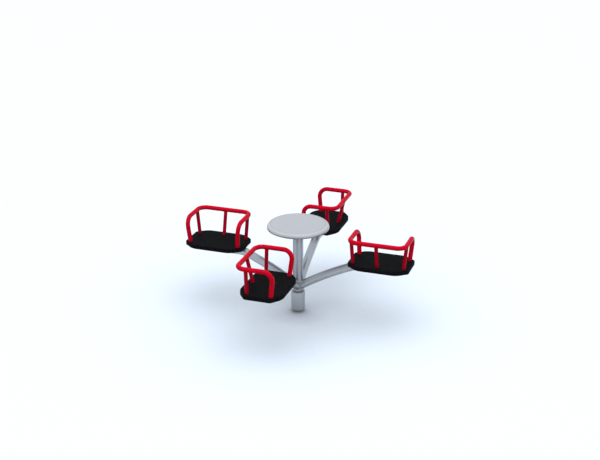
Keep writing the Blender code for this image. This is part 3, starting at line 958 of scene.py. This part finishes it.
def make_table_coat():
    """Pale grey satin coat; the ring outside the groove is painted lighter as a painted highlight, and the
    rim is painted darker low down as painted shade.
    """
    finish, tree, shader = start_finish(
        "table_satin_coat", (0.340, 0.332, 0.336), (0.362, 0.354, 0.358),
        scale=4.0, smooth=0.22, rough=0.28, dust=0.02)
    shader.inputs["Specular IOR Level"].default_value = 1.0
    where = tree.nodes.new("ShaderNodeTexCoord").outputs["Object"]
    old_colour = shader.inputs["Base Color"].links[0].from_socket
    x, y, _ = axes_of(tree, where)
    # Painted highlight: the ring outside the groove is painted lighter.
    edge = math_node(tree, "GREATER_THAN", hypotenuse(tree, x, y), TABLE_GROOVE)
    rim_highlight_share = math_node(tree, "MULTIPLY", edge, TABLE_RIM_HIGHLIGHT_SHARE)
    with_rim_highlight = blend_node(tree, rim_highlight_share, old_colour, TABLE_RIM_HIGHLIGHT_COLOUR)
    tree.links.new(add_shade_ring(tree, with_rim_highlight, RIM_UNDER_SHADE), shader.inputs["Base Color"])
    add_relief(tree, shader, noise_node(tree, where, 420.0, 2.0), TABLE_RELIEF)
    return finish


def table_profile():
    """Underside, a small round, the upright side, a quarter ellipse, a fine groove, the flat top."""
    under = TABLE_TOP - TABLE_THICKNESS
    angle = np.linspace(0.0, 0.5 * math.pi, 9)
    lower = np.stack([TABLE_RADIUS - TABLE_UNDER_ROUND * (1.0 - np.sin(angle)),
                      under + TABLE_UNDER_ROUND * (1.0 - np.cos(angle))], axis=1)
    angle = np.linspace(0.0, 0.5 * math.pi, 25)
    upper = np.stack([TABLE_RADIUS - TABLE_ROUND_W * (1.0 - np.cos(angle)),
                      TABLE_TOP - TABLE_ROUND_H * (1.0 - np.sin(angle))], axis=1)
    across = np.sin(0.5 * math.pi * np.linspace(1.0, -1.0, 17))
    groove = np.stack([TABLE_GROOVE + TABLE_GROOVE_HALF * across,
                       TABLE_TOP - TABLE_GROOVE_DEPTH * (1.0 - across ** 6)], axis=1)
    return np.concatenate([[(0.0, under)], lower, upper, groove, [(0.15, TABLE_TOP), (0.0, TABLE_TOP)]])


table_coat = make_table_coat()
make_piece("table_disc", [turned(table_profile(), 240)], table_coat, "base", ["table_top"])
flange_top = TABLE_TOP - TABLE_THICKNESS - PIECE_GAP
flange_under = flange_top - FLANGE_THICKNESS
flange_profile = rounded_corners([
    (0.0, flange_under, 0.0), (FLANGE_RADIUS, flange_under, FLANGE_ROUND),
    (FLANGE_RADIUS, flange_top, FLANGE_ROUND), (0.0, flange_top, 0.0)])
make_piece("table_flange_disc", [turned(flange_profile)], galvanised, "base",
           ["table_flange"])


# Seat plates, spindle and bearings
# The plates lie flush in the boards. The spindle and bearings are machined
# steel inside the column and housing, out of sight unless looked for.

LATHE_RELIEF = 0.00005


def make_machined():
    """Turned steel, lightly oiled, with fine rings from the lathe."""
    finish, tree, shader = start_finish(
        "machined_steel", (0.28, 0.28, 0.29), (0.34, 0.34, 0.35),
        scale=20.0, smooth=0.24, rough=0.34, metallic=1.0)
    where = tree.nodes.new("ShaderNodeTexCoord").outputs["Object"]
    add_relief(tree, shader, noise_node(tree, where, 8.0, 1.0, (1.0, 1.0, 220.0)), LATHE_RELIEF)
    return finish


machined = make_machined()
for name in ("spindle", "lower_bearing", "upper_bearing", "top_bearing"):
    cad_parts[name].data.materials.clear()
    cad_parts[name].data.materials.append(machined)
for number in range(1, SEAT_COUNT + 1):
    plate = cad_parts["seat_%d_plate" % number]
    plate.data.materials.clear()
    plate.data.materials.append(galvanised)


# Floor, light and camera
# A pale floor under a soft sky, with shade painted into its colour where things
# stand over it, an even pale surround for things to mirror and a plain backdrop,
# seen from the photograph's own angle.

FLOOR_SIZE = 60.0
FLOOR_PAINTED_SHADE = (0.05, 0.053, 0.058, 1.0)
FLOOR_PALE = (0.70, 0.748, 0.80, 1.0)
FLOOR_HOLD = 0.50
SHADE_SAMPLES = 8
SHADE_REACH = 1.2
SHADE_POWER = 0.45
CONTACT_REACH = 0.24
CONTACT_POWER = 1.6
CONTACT_FLOOR = 0.46
CONTACT_LEAN = 2.0
SKY_COLOUR = (0.925, 0.965, 1.025, 1.0)
SKY_TOP = 2.29
SKY_FRONT = 0.60
SURROUND_COLOUR = (0.68, 0.76, 0.86, 1.0)
SURROUND_LIFT = 0.35
BACKDROP_COLOUR = (0.98, 1.0, 1.02, 1.0)
CAMERA_AZIMUTH = math.radians(18.889846)
CAMERA_ELEVATION = math.radians(22.058019)
TOWARDS_CAMERA = Vector((math.sin(CAMERA_AZIMUTH), -math.cos(CAMERA_AZIMUTH), 0.0))
CAMERA_LENS = 71.176
CAMERA_DISTANCE = 9.70345
CAMERA_AIM_HEIGHT = 0.42
CAMERA_SIDE = 0.015568
CAMERA_RISE = 0.278258


def openness(tree, reach, power):
    """An occlusion node and its share: 1 in the open, less within reach of things, to a power."""
    node = tree.nodes.new("ShaderNodeAmbientOcclusion")
    node.samples = SHADE_SAMPLES
    node.inputs["Distance"].default_value = reach
    return node, math_node(tree, "POWER", node.outputs["AO"], power)


def make_floor():
    """A large flat square in pale paint, with soft shade painted into its colour where things stand over it.

    One shade is wide and faint, under the seats. The other is close round the
    foot: it looks along a direction that leans back by CONTACT_LEAN for one
    upwards, so it lies mostly in front, and it never goes below CONTACT_FLOOR.
    The floor throws FLOOR_HOLD less light back up than it shows.
    """
    points = np.array([(x, y, 0.0) for x in (-0.5, 0.5) for y in (-0.5, 0.5)]) * FLOOR_SIZE
    mesh = bpy.data.meshes.new("studio_floor")
    mesh.from_pydata(points.tolist(), [], [(0, 2, 3, 1)])
    finish = bpy.data.materials.new("floor_paint")
    finish.use_nodes = True
    tree = finish.node_tree
    shader = tree.nodes["Principled BSDF"]
    # Painted shade: occlusion darkens the floor's colour near things, close round the foot and wide under
    # the seats.
    nearby, contact = openness(tree, CONTACT_REACH, CONTACT_POWER)
    lean = tree.nodes.new("ShaderNodeCombineXYZ")
    direction = (Vector((0.0, 0.0, 1.0)) - TOWARDS_CAMERA * CONTACT_LEAN).normalized()
    for socket, value in zip(lean.inputs, direction):
        socket.default_value = value
    tree.links.new(lean.outputs["Vector"], nearby.inputs["Normal"])
    contact = math_node(tree, "MULTIPLY_ADD", contact, 1.0 - CONTACT_FLOOR, CONTACT_FLOOR)
    _, wide = openness(tree, SHADE_REACH, SHADE_POWER)
    share = math_node(tree, "MULTIPLY", contact, wide)
    bounced = tree.nodes.new("ShaderNodeLightPath").outputs["Is Diffuse Ray"]
    held = math_node(tree, "MULTIPLY_ADD", bounced, -FLOOR_HOLD, 1.0)
    share = math_node(tree, "MULTIPLY", share, held)
    tree.links.new(blend_node(tree, share, FLOOR_PAINTED_SHADE, FLOOR_PALE), shader.inputs["Base Color"])
    shader.inputs["Roughness"].default_value = 0.9
    shader.inputs["Specular IOR Level"].default_value = 0.1
    mesh.materials.append(finish)
    floor = bpy.data.objects.new("studio_floor", mesh)
    bpy.context.scene.collection.objects.link(floor)


def shown_to(tree, kind, colour, before):
    """A panel of one colour in place of what came before, for one kind of ray."""
    panel = tree.nodes.new("ShaderNodeBackground")
    panel.inputs["Color"].default_value = colour
    choice = tree.nodes.new("ShaderNodeMixShader")
    tree.links.new(tree.nodes.new("ShaderNodeLightPath").outputs[kind], choice.inputs["Fac"])
    tree.links.new(before, choice.inputs[1])
    tree.links.new(panel.outputs["Background"], choice.inputs[2])
    return panel, choice.outputs["Shader"]


def make_light():
    """A soft sky, a pale surround for reflections and a pale backdrop.

    The sky gives all the light. Its strength in a direction is that direction's
    height times SKY_TOP, and up to SKY_FRONT of that more on the camera's side
    and less on the other. Shiny things mirror the surround instead, which is
    SURROUND_LIFT brighter overhead. The backdrop is what shows past the floor.
    """
    world = bpy.data.worlds.new("studio_sky")
    world.use_nodes = True
    tree = world.node_tree
    sky = tree.nodes["Background"]
    sky.inputs["Color"].default_value = SKY_COLOUR
    where = tree.nodes.new("ShaderNodeTexCoord").outputs["Generated"]
    _, _, up = axes_of(tree, where)
    height = math_node(tree, "MAXIMUM", up, 0.0)
    front = tree.nodes.new("ShaderNodeVectorMath")
    front.operation = "DOT_PRODUCT"
    front.inputs[1].default_value = TOWARDS_CAMERA
    tree.links.new(where, front.inputs[0])
    strength = math_node(tree, "MULTIPLY_ADD", front.outputs["Value"], SKY_TOP * SKY_FRONT, SKY_TOP)
    tree.links.new(math_node(tree, "MULTIPLY", height, strength), sky.inputs["Strength"])
    surround, shown = shown_to(tree, "Is Glossy Ray", SURROUND_COLOUR, sky.outputs["Background"])
    tree.links.new(math_node(tree, "MULTIPLY_ADD", height, SURROUND_LIFT, 1.0), surround.inputs["Strength"])
    _, shown = shown_to(tree, "Is Camera Ray", BACKDROP_COLOUR, shown)
    tree.links.new(shown, tree.nodes["World Output"].inputs["Surface"])
    bpy.context.scene.world = world


def make_camera():
    """The camera stands where the photograph was taken from, and is level."""
    back = TOWARDS_CAMERA * math.cos(CAMERA_ELEVATION) + Vector((0.0, 0.0, math.sin(CAMERA_ELEVATION)))
    right = Vector((math.cos(CAMERA_AZIMUTH), math.sin(CAMERA_AZIMUTH), 0.0))
    up = back.cross(right)
    view = bpy.data.cameras.new("photo_view")
    view.sensor_width = 36.0
    view.lens = CAMERA_LENS
    view.clip_start = 0.1
    view.clip_end = 200.0
    camera = bpy.data.objects.new("photo_view", view)
    turn = Matrix((right, up, back)).transposed().to_4x4()
    place = Vector((0.0, 0.0, CAMERA_AIM_HEIGHT)) + back * CAMERA_DISTANCE
    place = place + right * CAMERA_SIDE + up * CAMERA_RISE
    camera.matrix_world = Matrix.Translation(place) @ turn
    bpy.context.scene.collection.objects.link(camera)
    bpy.context.scene.camera = camera


make_floor()
make_light()
make_camera()
bpy.context.scene.view_settings.view_transform = "Standard"
